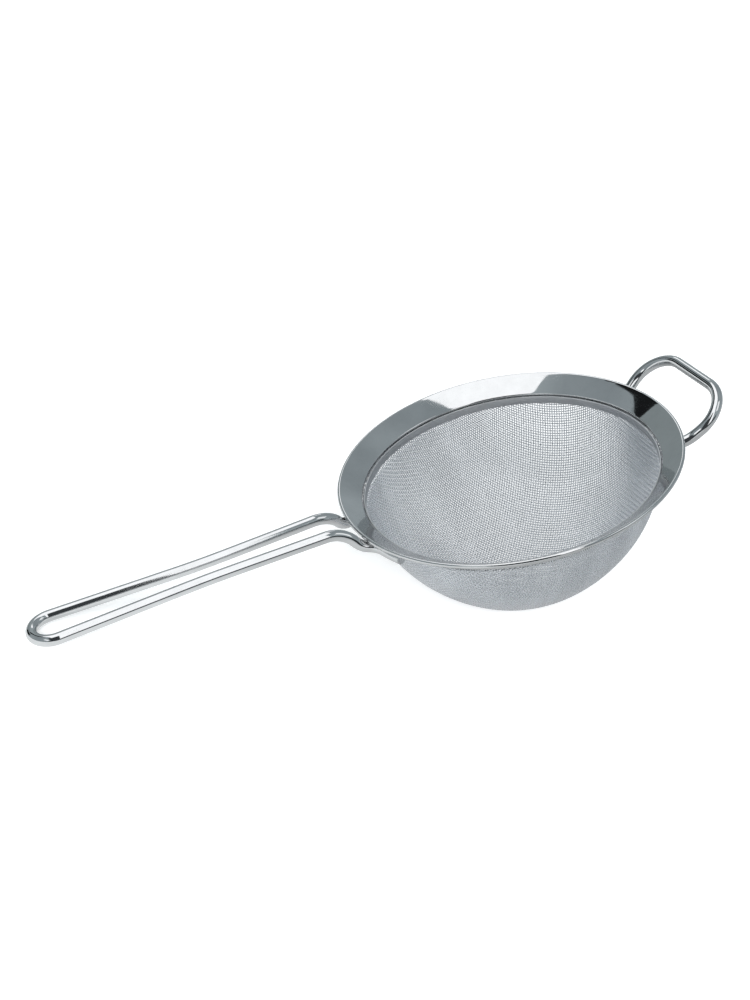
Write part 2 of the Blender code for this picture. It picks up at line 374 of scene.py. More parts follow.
# %% Helpers for node groups
def new_group(name, inputs, outputs):
    """A shader node group with (name, socket type, default) inputs and (name, socket type) outputs."""
    group = bpy.data.node_groups.new(name, "ShaderNodeTree")
    for label, kind, default in inputs:
        socket = group.interface.new_socket(label, in_out="INPUT", socket_type=kind)
        if default is not None:
            socket.default_value = default
    for label, kind in outputs:
        group.interface.new_socket(label, in_out="OUTPUT", socket_type=kind)
    return group, group.nodes.new("NodeGroupInput"), group.nodes.new("NodeGroupOutput")


def place_math(tree, operation, first, second=None):
    """A sum on one or two values, each a number or another node's output."""
    node = tree.nodes.new("ShaderNodeMath")
    node.operation = operation
    for socket, value in zip(node.inputs, (first, second)):
        if value is None:
            continue
        if isinstance(value, (int, float)):
            socket.default_value = value
        else:
            tree.links.new(value, socket)
    return node.outputs["Value"]


def place_group(tree, group, place=None, **values):
    """A node that uses a group, with its Place joined and its other inputs set."""
    node = tree.nodes.new("ShaderNodeGroup")
    node.node_tree = group
    if place is not None:
        tree.links.new(place, node.inputs["Place"])
    for label, value in values.items():
        node.inputs[label].default_value = value
    return node


def place_bump(tree, height, distance, under=None):
    """Bends the light as a relief of this height would, in metres, over another relief if there is one."""
    bump = tree.nodes.new("ShaderNodeBump")
    bump.inputs["Strength"].default_value = 1.0
    bump.inputs["Distance"].default_value = distance
    tree.links.new(height, bump.inputs["Height"])
    if under is not None:
        tree.links.new(under, bump.inputs["Normal"])
    return bump.outputs["Normal"]


print("helpers for node groups are ready")

# %% Node group: place in the rim's level
def level_place_group():
    """Object coordinates turned into the rim's level, in millimetres."""
    group, _, result = new_group("rim_level", [], [("Place", "NodeSocketVector")])
    place = group.nodes.new("ShaderNodeTexCoord")
    turn = group.nodes.new("ShaderNodeMapping")
    table_to_level = level_to_table.inverted()
    turn.inputs["Location"].default_value = table_to_level.translation
    turn.inputs["Rotation"].default_value = (0.0, lean, 0.0)
    turn.inputs["Scale"].default_value = (1.0 / MM, 1.0 / MM, 1.0 / MM)
    group.links.new(place.outputs["Object"], turn.inputs["Vector"])
    group.links.new(turn.outputs["Vector"], result.inputs["Place"])
    return group


rim_level = level_place_group()
print("group", rim_level.name)

# %% Node group: turned lines
# The noise is squeezed across the lines and drawn out around the axis.
LINES_AROUND = 2.5


def turned_lines_group():
    """Fine lines around the bowl's axis, the more to the millimetre the greater the Fineness."""
    group, given, result = new_group(
        "turned_lines",
        [("Place", "NodeSocketVector", None), ("Fineness", "NodeSocketFloat", 8.0)],
        [("Lines", "NodeSocketFloat")],
    )
    split = group.nodes.new("ShaderNodeSeparateXYZ")
    group.links.new(given.outputs["Place"], split.inputs["Vector"])
    x, y, z = (split.outputs[axis] for axis in "XYZ")
    angle = place_math(group, "ARCTAN2", y, x)
    radius = place_math(group, "SQRT", place_math(group, "ADD", place_math(group, "MULTIPLY", x, x),
                                                  place_math(group, "MULTIPLY", y, y)))
    across = place_math(group, "MULTIPLY", place_math(group, "ADD", radius, z), given.outputs["Fineness"])
    join = group.nodes.new("ShaderNodeCombineXYZ")
    group.links.new(across, join.inputs["X"])
    group.links.new(place_math(group, "MULTIPLY", angle, LINES_AROUND), join.inputs["Y"])
    lines = place_noise(group, join.outputs["Vector"], 1.0, detail=4.0, roughness=0.65)
    group.links.new(lines.outputs["Fac"], result.inputs["Lines"])
    return group


turned_lines = turned_lines_group()
print("group", turned_lines.name)

# %% Node group: scratches and smudges
# Each lay of scratches has a turn, in radians, and a number that says how narrow its scratches are. The
# spots where scratches and smudges gather are given as the noise's scale and the range that is kept of it.
SCRATCH_LAYS = ((0.35, 26.0), (1.9, 19.0), (2.7, 31.0))
SCRATCH_DRAW = 0.12             # how far a scratch is drawn out
SCRATCH_CUT = (0.68, 0.76)      # only the peaks of the noise are scratches
SCRATCHED_SPOTS = (0.11, 0.42, 0.62)
SMUDGED_SPOTS = (0.16, 0.35, 0.7)


def handling_group():
    """Hair scratches, as a mask, and smudges, as a soft 0 to 1 pattern."""
    group, given, result = new_group(
        "handling",
        [("Place", "NodeSocketVector", None)],
        [("Scratches", "NodeSocketFloat"), ("Smudges", "NodeSocketFloat")],
    )
    masks = []
    for turn, narrow in SCRATCH_LAYS:
        lay = group.nodes.new("ShaderNodeMapping")
        lay.inputs["Rotation"].default_value = (turn * 0.4, turn * 0.7, turn)
        lay.inputs["Scale"].default_value = (narrow, SCRATCH_DRAW, narrow * 0.5)
        group.links.new(given.outputs["Place"], lay.inputs["Vector"])
        hair = place_noise(group, lay.outputs["Vector"], 1.0, detail=1.0)
        masks.append(place_range(group, hair.outputs["Fac"], 0.0, 1.0, *SCRATCH_CUT))
    strongest = place_math(group, "MAXIMUM", masks[0], place_math(group, "MAXIMUM", masks[1], masks[2]))
    patchy = place_noise(group, given.outputs["Place"], SCRATCHED_SPOTS[0], detail=2.0)
    where = place_range(group, patchy.outputs["Fac"], 0.0, 1.0, *SCRATCHED_SPOTS[1:])
    group.links.new(place_math(group, "MULTIPLY", strongest, where), result.inputs["Scratches"])
    smudge = place_noise(group, given.outputs["Place"], SMUDGED_SPOTS[0], detail=5.0, roughness=0.6)
    soft = place_range(group, smudge.outputs["Fac"], 0.0, 1.0, *SMUDGED_SPOTS[1:])
    group.links.new(soft, result.inputs["Smudges"])
    return group


handling = handling_group()
print("group", handling.name)

# %% [markdown]
# ## Mirror-polished steel
# The rim and both wires are polished to a mirror. Even a mirror finish isn't perfect: the sheet keeps a
# slow ripple from pressing, the wheel leaves faint lines, and use adds hair scratches and
# smudges. The ripple only bends the reflections a little, and the rest lifts the roughness too.

# %% Mirror-polished finish
STEEL_CLEAN, STEEL_SMUDGED = (0.66, 0.67, 0.675), (0.61, 0.62, 0.625)
SMUDGE_DULLS, SCRATCH_DULLS, LINE_DULLS = 0.035, 0.1, 0.02      # the most that each adds to the roughness
LINE_PEAKS = (0.45, 0.7)
LINE_DEPTH, SCRATCH_DEPTH = 0.0004, 0.001                       # in millimetres


def polished_finish(name, ripple_size, ripple_height, fineness, gloss):
    """Mirror-bright steel. The gloss is the roughness of its cleanest spots."""
    material, tree, shader = node_material(name)
    level = place_group(tree, rim_level).outputs["Place"]
    worn = place_group(tree, handling, level)
    lines = place_group(tree, turned_lines, level, Fineness=fineness).outputs["Lines"]
    colour = place_blend(tree, worn.outputs["Smudges"], STEEL_CLEAN, STEEL_SMUDGED)
    rough = place_math(tree, "ADD", place_range(tree, worn.outputs["Smudges"], gloss, gloss + SMUDGE_DULLS),
                       place_range(tree, worn.outputs["Scratches"], 0.0, SCRATCH_DULLS))
    rough = place_math(tree, "ADD", rough, place_range(tree, lines, 0.0, LINE_DULLS, *LINE_PEAKS))
    ripple = place_noise(tree, level, ripple_size, detail=1.0)
    normal = place_bump(tree, ripple.outputs["Fac"], ripple_height * MM)
    normal = place_bump(tree, lines, LINE_DEPTH * MM, under=normal)
    normal = place_bump(tree, worn.outputs["Scratches"], -SCRATCH_DEPTH * MM, under=normal)
    shader.inputs["Metallic"].default_value = 1.0
    tree.links.new(colour, shader.inputs["Base Color"])
    tree.links.new(rough, shader.inputs["Roughness"])
    tree.links.new(normal, shader.inputs["Normal"])
    return material


rim_polish = polished_finish("rim_polish", ripple_size=0.09, ripple_height=0.02, fineness=7.0, gloss=0.02)
wire_polish = polished_finish("wire_polish", ripple_size=0.14, ripple_height=0.01, fineness=4.0, gloss=0.03)
print("finishes", rim_polish.name, wire_polish.name)

# %% [markdown]
# ## Satin steel
# The ring that holds the cloth is left as it came from the press: dull, with turning lines all
# the way round and small changes of tone.

# %% Satin finish
SATIN_DARK, SATIN_BRIGHT = (0.5, 0.51, 0.52), (0.66, 0.67, 0.68)
SATIN_ROUGH = (0.22, 0.4)
SATIN_SMUDGE_DULLS = 0.08
SATIN_LINES = 10.0
SATIN_LINE_DEPTH = 0.01         # in millimetres


def satin_finish():
    """Dull steel with lines all the way round."""
    material, tree, shader = node_material("ring_satin")
    level = place_group(tree, rim_level).outputs["Place"]
    worn = place_group(tree, handling, level)
    lines = place_group(tree, turned_lines, level, Fineness=SATIN_LINES).outputs["Lines"]
    colour = place_blend(tree, lines, SATIN_DARK, SATIN_BRIGHT)
    rough = place_math(tree, "ADD", place_range(tree, lines, *SATIN_ROUGH),
                       place_range(tree, worn.outputs["Smudges"], 0.0, SATIN_SMUDGE_DULLS))
    normal = place_bump(tree, lines, SATIN_LINE_DEPTH * MM)
    shader.inputs["Metallic"].default_value = 1.0
    tree.links.new(colour, shader.inputs["Base Color"])
    tree.links.new(rough, shader.inputs["Roughness"])
    tree.links.new(normal, shader.inputs["Normal"])
    return material


ring_satin = satin_finish()
print("finish", ring_satin.name)

# %% [markdown]
# ## Helpers for turned and bent pieces
# A turned piece is a profile spun around the axis, as on a lathe. Its sharp rings are then eased with a
# small bevel, because a pressed edge is never a knife. A bent wire is a round section along a path of
# straight runs and arcs.

# %% Finishing a piece
HARD_EDGE = 50.0                # degrees: a sharper edge isn't shaded round


def finish_piece(name, bm, material, slot, *nodes, hard_edge=HARD_EDGE):
    """Lays a piece on the table, gives it its finish and puts it in the place of its frame nodes."""
    bmesh.ops.transform(bm, matrix=level_to_table, verts=bm.verts)
    mesh = bpy.data.meshes.new(name)
    bm.to_mesh(mesh)
    bm.free()
    mesh.shade_smooth()
    mesh.set_sharp_from_angle(angle=math.radians(hard_edge))
    mesh.materials.append(material)
    piece = bpy.data.objects.new(name, mesh)
    bpy.context.scene.collection.objects.link(piece)
    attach(piece, "root")
    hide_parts(*nodes)
    mesh.calc_loop_triangles()
    print(f"{name}: {len(mesh.loop_triangles)} triangles")


print(f"edges over {HARD_EDGE:.0f} degrees stay sharp")

# %% Turning a profile
TURN_STEPS = 256
EASE = 0.1                      # the bevel on a pressed edge
EASE_STEPS = 3
EASED_ANGLE = math.radians(40.0)
SAME_PLACE = 0.0001             # points closer than this are one


def arc_points(centre, radius, start, end, count):
    """Points on an arc in the profile's plane, from one angle to another."""
    angles = [start + (end - start) * i / count for i in range(count + 1)]
    return [(centre[0] + radius * math.cos(a), centre[1] + radius * math.sin(a)) for a in angles]


def turn_profile(outline):
    """Spins a closed outline of (radius, height) around the axis and eases its sharp rings."""
    bm = bmesh.new()
    ring = [bm.verts.new((r, 0.0, z)) for r, z in outline]
    edges = [bm.edges.new((a, b)) for a, b in zip(ring, ring[1:] + ring[:1])]
    bmesh.ops.spin(bm, geom=ring + edges, cent=(0, 0, 0), axis=(0, 0, 1), angle=math.tau,
                   steps=TURN_STEPS, use_merge=True)
    bmesh.ops.remove_doubles(bm, verts=bm.verts, dist=SAME_PLACE)
    bmesh.ops.recalc_face_normals(bm, faces=bm.faces)
    sharp = [e for e in bm.edges if e.calc_face_angle(0.0) > EASED_ANGLE]
    bmesh.ops.bevel(bm, geom=sharp, offset=EASE, offset_type="OFFSET", affect="EDGES",
                    segments=EASE_STEPS, profile=0.5, material=-1, clamp_overlap=True)
    return bm


print(f"a turned piece has {TURN_STEPS} steps around")

# %% [markdown]
# ## The rim band
# The rim is one sheet of steel, 0.5 mm thick. It slopes down into the bowl as a cone, its outer edge is
# rolled into a bead that is smooth to the hand, and its inner edge turns under into a collar that
# grips the cloth. The slope follows from the bead and the lip: the top face leaves the lip and just
# touches the top of the bead.

# %% Turn the rim band
SHEET = 0.5
RIM_R = 46.0
BEAD_R = 0.55
BEAD_Z = -0.3
LIP_R = 39.9
LIP_Z = -3.4
COLLAR_IN = 40.1
COLLAR_BOTTOM = -4.9
LIP_BEND = 0.4                  # the rounded inner edge
CROWN = 0.05                    # the press leaves the cone very slightly domed
CONE_RINGS = 12
BEAD_END = math.radians(-150.0) # where the rolled edge meets the underside
BEAD_STEPS, LIP_STEPS = 24, 8

bead_run = RIM_R - BEAD_R - LIP_R
bead_rise = BEAD_Z - LIP_Z
band_slope = math.atan2(bead_rise, bead_run) + math.asin(BEAD_R / math.hypot(bead_run, bead_rise))
under_lip = LIP_Z - SHEET / math.cos(band_slope)


def band_underside(radius):
    """The height of the sloping underside at a radius."""
    return under_lip + (radius - LIP_R) * math.tan(band_slope)


def cone_face():
    """Points down the top face, from the bead to the lip, with its slight crown."""
    foot = Vector((LIP_R, LIP_Z))
    head = Vector((RIM_R - BEAD_R - BEAD_R * math.sin(band_slope), BEAD_Z + BEAD_R * math.cos(band_slope)))
    out = Vector((-math.sin(band_slope), math.cos(band_slope)))
    start = LIP_BEND * math.tan((math.pi / 2 - band_slope) / 2) / (head - foot).length
    shares = [1.0 - (1.0 - start) * i / CONE_RINGS for i in range(1, CONE_RINGS)]
    return [tuple(foot.lerp(head, t) + out * CROWN * 4 * (t - start) * (1 - t)) for t in shares]


def rim_band_outline():
    """All the way round: the bead, the underside, the collar, the lip and the top face."""
    upright = math.pi / 2
    bead = arc_points((RIM_R - BEAD_R, BEAD_Z), BEAD_R, band_slope + upright, BEAD_END, BEAD_STEPS)
    collar_out = COLLAR_IN + SHEET
    drop = LIP_BEND / math.cos(band_slope) - LIP_BEND * math.tan(band_slope)
    lip = arc_points((LIP_R + LIP_BEND, LIP_Z - drop), LIP_BEND, math.pi, band_slope + upright, LIP_STEPS)
    return bead + [
        (collar_out, band_underside(collar_out)),
        (collar_out, COLLAR_BOTTOM),
        (COLLAR_IN, COLLAR_BOTTOM),
        (COLLAR_IN, band_underside(COLLAR_IN)),
        (LIP_R, under_lip),
    ] + lip + cone_face()[::-1]


rim_band = turn_profile(rim_band_outline())
finish_piece("rim_band_polished", rim_band, rim_polish, "polished_steel", "rim_band")
print(f"band slope {math.degrees(band_slope):.1f} degrees")

# %% [markdown]
# ## The bowl's outline
# The bowl is pressed over a former, so its outline is a chain of smooth bends: a small flat, a round
# bottom, a long slope, a shoulder and a short step up into the collar. Each is one row: how long it is
# along the cloth and how the slope changes over it. Adding them up gives the whole outline.

# %% The outline from the bottom to the hem
FLAT_R = 3.6
FLAT_EDGE_R, CAP_R, WALL_R, SHOULDER_R, STEP_R = 3.0, 26.3, 53.8, 40.0, 1.25
# The slope at the end of each bend.
FLAT_EDGE, CAP_END, WALL_END = math.radians(8.75), math.radians(23.0), math.radians(50.7)
SHOULDER_END, STEP_OUT, UPRIGHT = math.radians(77.0), math.radians(40.0), math.pi / 2
CLOTH_WIRE_R = 0.135
BOWL_DEPTH = FLAT_DEPTH - 2 * CLOTH_WIRE_R
HEM_HEIGHT = 1.4
OUTLINE_STEP = 0.02

bowl_rows = (
    # length along the cloth, slope at the start, slope at the end
    (FLAT_R, 0.0, 0.0),
    (FLAT_EDGE_R * FLAT_EDGE, 0.0, FLAT_EDGE),
    (CAP_R * (CAP_END - FLAT_EDGE), FLAT_EDGE, CAP_END),
    (WALL_R * (WALL_END - CAP_END), CAP_END, WALL_END),
    (SHOULDER_R * (SHOULDER_END - WALL_END), WALL_END, SHOULDER_END),
    (STEP_R * (SHOULDER_END - STEP_OUT), SHOULDER_END, STEP_OUT),
    (STEP_R * (UPRIGHT - STEP_OUT), STEP_OUT, UPRIGHT),
    (HEM_HEIGHT, UPRIGHT, UPRIGHT),
)


def bowl_outline(rows):
    """Distance along the cloth, radius, height and slope, from the middle of the bottom to the hem's edge."""
    slopes = [np.zeros(1)]
    for length, start, end in rows:
        count = max(2, round(length / OUTLINE_STEP))
        slopes.append(start + (end - start) * (np.arange(count) + 0.5) / count)
    steps = np.concatenate([np.full(len(s), row[0] / len(s)) for s, row in zip(slopes[1:], rows)])
    slope = np.concatenate(slopes[1:])
    along = np.concatenate([[0.0], np.cumsum(steps)])
    radius = np.concatenate([[0.0], np.cumsum(np.cos(slope) * steps)])
    height = np.concatenate([[0.0], np.cumsum(np.sin(slope) * steps)]) - BOWL_DEPTH
    return along, radius, height, np.append(slope, UPRIGHT)


along, radius, height, slope = bowl_outline(bowl_rows)
HEM_R = radius[-1]
print(f"cloth from bottom to hem {along[-1]:.1f} mm, hem radius {HEM_R:.2f}, top {height[-1]:.2f}")

# %% [markdown]
# ## The clamp ring
# A narrow ring sits inside the collar and traps the edge of the cloth. It is the dull line just below
# the polished lip.

# %% Turn the clamp ring
RING_SHEET = 0.4
RING_TOP = -3.95
RING_BOTTOM = -6.1
ring_out = HEM_R - 2 * CLOTH_WIRE_R
ring_outline = [
    (ring_out, RING_TOP),
    (ring_out, RING_BOTTOM),
    (ring_out - RING_SHEET, RING_BOTTOM),
    (ring_out - RING_SHEET, RING_TOP),
]
finish_piece("clamp_ring_satin", turn_profile(ring_outline), ring_satin, "satin_steel", "clamp_ring")
print(f"ring inside radius {ring_out - RING_SHEET:.2f}")

# %% [markdown]
# ## The bent wires
# The handle and the rest loop are 3 mm wire. Each is one path: a foot that follows the underside of the
# rim, a bend out from under the bead, straight legs and a round end. Only half a path is drawn, the
# other half is its mirror image. A curve with a round bevel gives the wire its body.

# %% Rounding the corners of a path
ARC_STEP = math.radians(4.0)
SLIGHT_TURN = math.radians(0.5) # a corner that turns less than this stays as it is
LONG_RUN = 2.0
RUN_INSET = 0.3


def round_corners(corners, radii):
    """Straight runs with each inner corner turned into an arc of its radius."""
    path = [corners[0]]
    for before, corner, after, bend in zip(corners, corners[1:], corners[2:], radii):
        back_way = (before - corner).normalized()
        ahead_way = (after - corner).normalized()
        turned = math.pi - back_way.angle(ahead_way)
        if bend <= 0.0 or turned < SLIGHT_TURN:
            path.append(corner)
            continue
        centre = corner + (back_way + ahead_way).normalized() * (bend / math.cos(turned / 2))
        spoke = corner + back_way * bend * math.tan(turned / 2) - centre
        normal = back_way.cross(ahead_way).normalized()
        count = max(3, math.ceil(turned / ARC_STEP))
        for i in range(count + 1):
            path.append(centre + Matrix.Rotation(-turned * i / count, 3, normal) @ spoke)
    path.append(corners[-1])
    return path


def steady_runs(path):
    """Adds a point close to each end of a long straight run, so that its smooth shading stays straight."""
    steadied = [path[0]]
    for start, end in zip(path, path[1:]):
        run = end - start
        if run.length > LONG_RUN:
            inset = run.normalized() * RUN_INSET
            steadied += [start + inset, end - inset]
        steadied.append(end)
    return steadied


print(f"arcs turn at most {math.degrees(ARC_STEP):.0f} degrees a step")

# %% Feet and mirror images
FOOT_STEPS = 8


def foot_arc(foot_r, foot_z, angles, side):
    """A foot along the underside of the rim, from its cut end to the bend."""
    turns = [angles[0] + (angles[1] - angles[0]) * i / FOOT_STEPS for i in range(FOOT_STEPS + 1)]
    return [Vector((side * foot_r * math.cos(a), foot_r * math.sin(a), foot_z)) for a in turns]


def mirrored(points):
    """The other half of a path, back from its middle."""
    return [Vector((p.x, -p.y, p.z)) for p in reversed(points)]


print(f"a foot is drawn in {FOOT_STEPS} steps")

# %% From paths to wires
WIRE_R = 1.5
WIRE_SIDES = 32
CUT_EASE = 0.15
SAME_RING = 0.0005              # points of a bend closer than this are one


def thread_wires(name, paths, wire_r, sides):
    """One mesh of round wires along paths of points, drawn as bevelled curves."""
    curve = bpy.data.curves.new(name, "CURVE")
    curve.dimensions = "3D"
    curve.bevel_depth = wire_r
    curve.bevel_resolution = sides // 2 - 2
    curve.use_fill_caps = True
    for path in paths:
        spline = curve.splines.new("POLY")
        spline.points.add(len(path) - 1)
        spline.points.foreach_set("co", np.column_stack([np.array(path), np.ones(len(path))]).ravel())
    thread = bpy.data.objects.new(name, curve)
    bpy.context.scene.collection.objects.link(thread)
    mesh = bpy.data.meshes.new_from_object(thread.evaluated_get(bpy.context.evaluated_depsgraph_get()))
    bpy.data.objects.remove(thread)
    bpy.data.curves.remove(curve)
    bm = bmesh.new()
    bm.from_mesh(mesh)
    bpy.data.meshes.remove(mesh)
    bmesh.ops.remove_doubles(bm, verts=bm.verts, dist=SAME_RING)
    return bm


def bend_wire(name, path):
    """One thick wire along a path, with the burr taken off its two sawn ends."""
    bm = thread_wires(name, [steady_runs(path)], WIRE_R, WIRE_SIDES)
    caps = [f for f in bm.faces if len(f.verts) > 4]
    rims = {e for f in caps for e in f.edges}
    bmesh.ops.bevel(bm, geom=list(rims), offset=CUT_EASE, offset_type="OFFSET", affect="EDGES",
                    segments=2, profile=0.5, material=-1, clamp_overlap=True)
    return bm


print(f"wire {2 * WIRE_R:.0f} mm thick, {WIRE_SIDES} sides")

# %% Bend the handle
TIP_X, TIP_R, TIP_Z = -125.0, 5.35, 5.9
WAIST = Vector((-85.3, 3.7, 4.1))
WAIST_BEND_R = 200.0
HANDLE_BEND = Vector((-50.0, 4.6, 2.7))
HANDLE_BEND_R = 8.6
HANDLE_DIP = Vector((-46.4, 6.3, -2.6))
HANDLE_DIP_R = 5.7
HANDLE_FOOT = (43.0, -3.85, (math.radians(22.2), math.radians(10.3)))     # radius, height, ends
FOOT_BEND_R = 3.6
TIP_STEPS = 36


def handle_path():
    """A foot, out from under the rim, along the leg, round the tip and back on the other side."""
    foot = foot_arc(*HANDLE_FOOT, -1)
    corners = foot + [HANDLE_DIP, HANDLE_BEND, WAIST, Vector((TIP_X, TIP_R, TIP_Z))]
    bends = [FOOT_BEND_R, HANDLE_DIP_R, HANDLE_BEND_R, WAIST_BEND_R]
    half = round_corners(corners, [0.0] * (len(foot) - 2) + bends)
    climb = (TIP_Z - WAIST.z) / (WAIST.x - TIP_X)
    turns = [math.pi * i / TIP_STEPS for i in range(1, TIP_STEPS)]
    end = [Vector((TIP_X - TIP_R * math.sin(a), TIP_R * math.cos(a), TIP_Z + climb * TIP_R * math.sin(a)))
           for a in turns]
    return half + end + mirrored(half)


handle = bend_wire("handle", handle_path())
finish_piece("handle_wire_polished", handle, wire_polish, "polished_steel", "handle_wire")

# %% Bend the rest loop
LOOP_CORNER = Vector((58.05, 19.3, 3.5))
LOOP_CORNER_R = 9.4
LOOP_DIP = Vector((45.3, 15.8, -4.7))
LOOP_DIP_R = 9.8
LOOP_FOOT = (42.8, -5.1, (math.radians(32.5), math.radians(20.4)))


def loop_path():
    """A foot, up and out from under the rim, round the corner and back on the other side."""
    foot = foot_arc(*LOOP_FOOT, 1)
    corners = foot + [LOOP_DIP, LOOP_CORNER, Vector((LOOP_CORNER.x, 0.0, LOOP_CORNER.z))]
    half = round_corners(corners, [0.0] * (len(foot) - 2) + [FOOT_BEND_R, LOOP_DIP_R, LOOP_CORNER_R])
    return half[:-1] + mirrored(half[:-1])


loop = bend_wire("loop", loop_path())
finish_piece("rest_loop_polished", loop, wire_polish, "polished_steel", "rest_loop_wire")

# %% [markdown]
# ## The welds
# Each foot is held by a short bead of weld in the groove between the wire and the band. Weld metal
# freezes in overlapping ripples and is grey and matt, with a little straw and blue from the heat.

# %% Weld finish
WELD_BLUE, WELD_STRAW = (0.3, 0.3, 0.32, 1.0), (0.46, 0.42, 0.36, 1.0)
WELD_ROUGH = (0.35, 0.65)
WELD_GRAIN = 0.05


def weld_finish():
    """Grey and matt metal with heat colours."""
    material, tree, shader = node_material("weld_metal")
    level = place_group(tree, rim_level).outputs["Place"]
    grain = place_noise(tree, level, 3.0, detail=6.0, roughness=0.7)
    heat = place_noise(tree, level, 0.6, detail=2.0)
    ramp = tree.nodes.new("ShaderNodeValToRGB")
    ramp.color_ramp.elements[0].color = WELD_BLUE
    ramp.color_ramp.elements[1].color = WELD_STRAW
    tree.links.new(heat.outputs["Fac"], ramp.inputs["Fac"])
    shader.inputs["Metallic"].default_value = 1.0
    tree.links.new(ramp.outputs["Color"], shader.inputs["Base Color"])
    tree.links.new(place_range(tree, grain.outputs["Fac"], *WELD_ROUGH), shader.inputs["Roughness"])
    tree.links.new(place_bump(tree, grain.outputs["Fac"], WELD_GRAIN * MM), shader.inputs["Normal"])
    return material


weld_metal = weld_finish()
print("finish", weld_metal.name)

# %% Lay the weld beads
WELD_R = 0.62
WELD_PROUD = 0.55               # the share of its radius by which a bead stands off both metals
WELD_RIPPLES = 9
RIPPLE_LENGTH = 1.25            # along the bead, against its radius
WELD_START = math.radians(1.0)
WELD_SPAN = math.radians(8.0)
WELD_TAPER = 0.35               # how much thinner the bead's ends are


def weld_bead(foot_r, foot_z, angles, side, mirror):
    """A row of overlapping ripples in the groove on the outer side of a foot."""
    reach = WIRE_R + WELD_R * WELD_PROUD
    rise = (band_underside(foot_r) - foot_z) * math.cos(band_slope) - WELD_R * WELD_PROUD
    out = math.sqrt(max(reach ** 2 - rise ** 2, 0.0))
    r = foot_r + out * math.cos(band_slope) - rise * math.sin(band_slope)
    z = foot_z + out * math.sin(band_slope) + rise * math.cos(band_slope)
    bm = bmesh.new()
    for i in range(WELD_RIPPLES):
        a = angles[0] - WELD_START - WELD_SPAN * i / (WELD_RIPPLES - 1)
        swell = 1.0 - WELD_TAPER * abs(2 * i / (WELD_RIPPLES - 1) - 1) ** 3
        place = Matrix.Translation((side * r * math.cos(a), mirror * r * math.sin(a), z))
        turn = Matrix.Rotation(a * side * mirror, 4, "Z")
        squash = Matrix.Diagonal((WELD_R * swell, WELD_R * RIPPLE_LENGTH, WELD_R * swell, 1.0))
        bmesh.ops.create_icosphere(bm, subdivisions=3, radius=1.0, matrix=place @ turn @ squash)
    return bm


for weld_name, foot, side in (("handle_weld", HANDLE_FOOT, -1), ("loop_weld", LOOP_FOOT, 1)):
    for label, mirror in (("far", 1), ("near", -1)):
        node = f"{weld_name}_{label}"
        finish_piece(f"{node}_bead", weld_bead(*foot, side, mirror), weld_metal, "weld_bead", node)

# %% [markdown]
# ## Draping the cloth
# Wire cloth is woven flat, with 36 wires to the inch each way, and then pressed into a bowl. The wires
# hardly stretch. Instead the little squares between them lean over into diamonds, most of all
# up the wall half-way between the two directions of the weave. That is what makes the bands of
# light in a pressed strainer. The same rule builds it here: each crossing lies one spacing away from its
# two neighbours, on the surface of the bowl. The two middle wires cross at the bottom and run straight
# up the wall, and the rest follow from them, one diagonal row at a time. The bowl is round, so one
# quarter is worked out and turned three times.

# %% Find every crossing in one quarter
PITCH = 0.706                   # an inch has 36 wires
NEWTON_ROUNDS = 8
MISS_ALLOWED = 0.01


def on_bowl(distance, angle):
    """Points of the bowl at a distance along the cloth from the bottom, at an angle around the axis."""
    r = np.interp(distance, along, radius)
    return np.stack([r * np.cos(angle), r * np.sin(angle), np.interp(distance, along, height)], axis=-1)


def drape_quarter():
    """Distance and angle of each crossing. Those that fall past the hem stay empty.

    Each crossing starts from a guess, the parallelogram on its neighbours, and Newton's method moves it
    until both of its sides are one spacing long.
    """
    count = int(along[-1] / PITCH) + 1
    reach = np.full((count, count), np.nan)
    angle = np.full((count, count), np.nan)
    reach[:, 0] = np.arange(count) * PITCH
    reach[0, :] = np.arange(count) * PITCH
    angle[:, 0] = 0.0
    angle[0, :] = math.pi / 2
    for row in range(2, 2 * count - 1):
        i = np.arange(max(1, row - count + 1), min(row, count))
        j = row - i
        known = ~np.isnan(reach[i - 1, j] + reach[i, j - 1])
        i, j = i[known], j[known]
        if not len(i):
            break
        left = on_bowl(reach[i - 1, j], angle[i - 1, j])
        below = on_bowl(reach[i, j - 1], angle[i, j - 1])
        guess = left + below - on_bowl(reach[i - 1, j - 1], np.nan_to_num(angle[i - 1, j - 1]))
        s = reach[i - 1, j] + reach[i, j - 1] - reach[i - 1, j - 1]
        a = np.arctan2(guess[:, 1], guess[:, 0])
        for _ in range(NEWTON_ROUNDS):
            r = np.interp(s, along, radius)
            tilt = np.interp(s, along, slope)
            here = on_bowl(s, a)
            up_cloth = np.stack([np.cos(tilt) * np.cos(a), np.cos(tilt) * np.sin(a), np.sin(tilt)], axis=-1)
            around = np.stack([-r * np.sin(a), r * np.cos(a), np.zeros_like(r)], axis=-1)
            miss = [((here - end) ** 2).sum(-1) - PITCH ** 2 for end in (left, below)]
            by_s = [2 * ((here - end) * up_cloth).sum(-1) for end in (left, below)]
            by_a = [2 * ((here - end) * around).sum(-1) for end in (left, below)]
            scale = by_s[0] * by_a[1] - by_s[1] * by_a[0]
            s = s - (miss[0] * by_a[1] - miss[1] * by_a[0]) / scale
            a = a - (by_s[0] * miss[1] - by_s[1] * miss[0]) / scale
        good = (s < along[-1]) & (np.abs(miss[0]) + np.abs(miss[1]) < MISS_ALLOWED)
        reach[i[good], j[good]] = s[good]
        angle[i[good], j[good]] = a[good]
    return reach, angle


quarter_reach, quarter_angle = drape_quarter()
half_count = len(quarter_reach) - 1
print(f"{2 * half_count + 1} wires each way, {np.isfinite(quarter_reach).sum()} crossings in a quarter")

